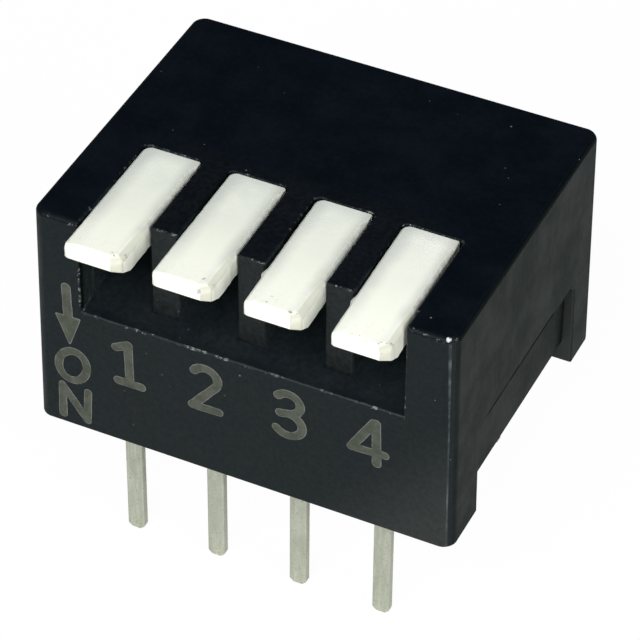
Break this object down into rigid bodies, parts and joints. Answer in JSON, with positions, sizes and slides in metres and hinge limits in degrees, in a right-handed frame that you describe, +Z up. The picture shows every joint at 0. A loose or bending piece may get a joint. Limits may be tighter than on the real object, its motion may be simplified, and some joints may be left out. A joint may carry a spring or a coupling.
{
  "type": "piano-style dip switch",
  "caption": "Right-angle DIP switch block: black moulded housing, a row of white side levers pressed down one by one, and two rows of tinned pins.",
  "frame": {"origin": "centre of the pin field on the seating plane, which is the top face of the circuit board that the switch stands on", "axes": "+X along the row of levers, from lever 1 to the last; +Z up, away from the board; the levers stick out towards -Y"},
  "size_m": [0.0124, 0.0107, 0.0116],
  "materials": {
    "housing_plastic": "fine matte moulded texture, near black",
    "base_plastic": "matte moulded, slightly lighter than the housing",
    "lever_plastic": "smooth, slightly satin, warm white",
    "slider_plastic": "natural nylon",
    "contact_metal": "gold plated",
    "marking_print": "matte grey marking on the front face",
    "terminal_metal": "matte tin plate"
  },
  "bodies": {
    "body": {"housing": "housing_plastic", "base": "base_plastic", "front_terminal_1": "terminal_metal", "front_terminal_2": "terminal_metal", "front_terminal_3": "terminal_metal", "front_terminal_4": "terminal_metal", "rear_terminal_1": "terminal_metal", "rear_terminal_2": "terminal_metal", "rear_terminal_3": "terminal_metal", "rear_terminal_4": "terminal_metal"},
    "lever_1": {"lever_1": "lever_plastic"},
    "slider_1": {"slider_1": "slider_plastic", "moving_contact_1": "contact_metal"},
    "lever_2": {"lever_2": "lever_plastic"},
    "slider_2": {"slider_2": "slider_plastic", "moving_contact_2": "contact_metal"},
    "lever_3": {"lever_3": "lever_plastic"},
    "slider_3": {"slider_3": "slider_plastic", "moving_contact_3": "contact_metal"},
    "lever_4": {"lever_4": "lever_plastic"},
    "slider_4": {"slider_4": "slider_plastic", "moving_contact_4": "contact_metal"}
  },
  "joints": [
    {"name": "lever_1_pivot", "type": "hinge", "parent": "body", "child": "lever_1", "pos_m": [-0.00381, -0.0007, 0.00575], "axis": [1, 0, 0], "range_deg": [0, 16]},
    {"name": "slider_1_slide", "type": "slide", "parent": "body", "child": "slider_1", "axis": [0, 1, 0], "range_m": [0, 0.000515]},
    {"name": "lever_2_pivot", "type": "hinge", "parent": "body", "child": "lever_2", "pos_m": [-0.00127, -0.0007, 0.00575], "axis": [1, 0, 0], "range_deg": [0, 16]},
    {"name": "slider_2_slide", "type": "slide", "parent": "body", "child": "slider_2", "axis": [0, 1, 0], "range_m": [0, 0.000515]},
    {"name": "lever_3_pivot", "type": "hinge", "parent": "body", "child": "lever_3", "pos_m": [0.00127, -0.0007, 0.00575], "axis": [1, 0, 0], "range_deg": [0, 16]},
    {"name": "slider_3_slide", "type": "slide", "parent": "body", "child": "slider_3", "axis": [0, 1, 0], "range_m": [0, 0.000515]},
    {"name": "lever_4_pivot", "type": "hinge", "parent": "body", "child": "lever_4", "pos_m": [0.00381, -0.0007, 0.00575], "axis": [1, 0, 0], "range_deg": [0, 16]},
    {"name": "slider_4_slide", "type": "slide", "parent": "body", "child": "slider_4", "axis": [0, 1, 0], "range_m": [0, 0.000515]}
  ],
  "couplings": [
    {"joint": "lever_1_pivot", "follows": "slider_1_slide", "rad_per_m": 542.2},
    {"joint": "lever_2_pivot", "follows": "slider_2_slide", "rad_per_m": 542.2},
    {"joint": "lever_3_pivot", "follows": "slider_3_slide", "rad_per_m": 542.2},
    {"joint": "lever_4_pivot", "follows": "slider_4_slide", "rad_per_m": 542.2}
  ]
}
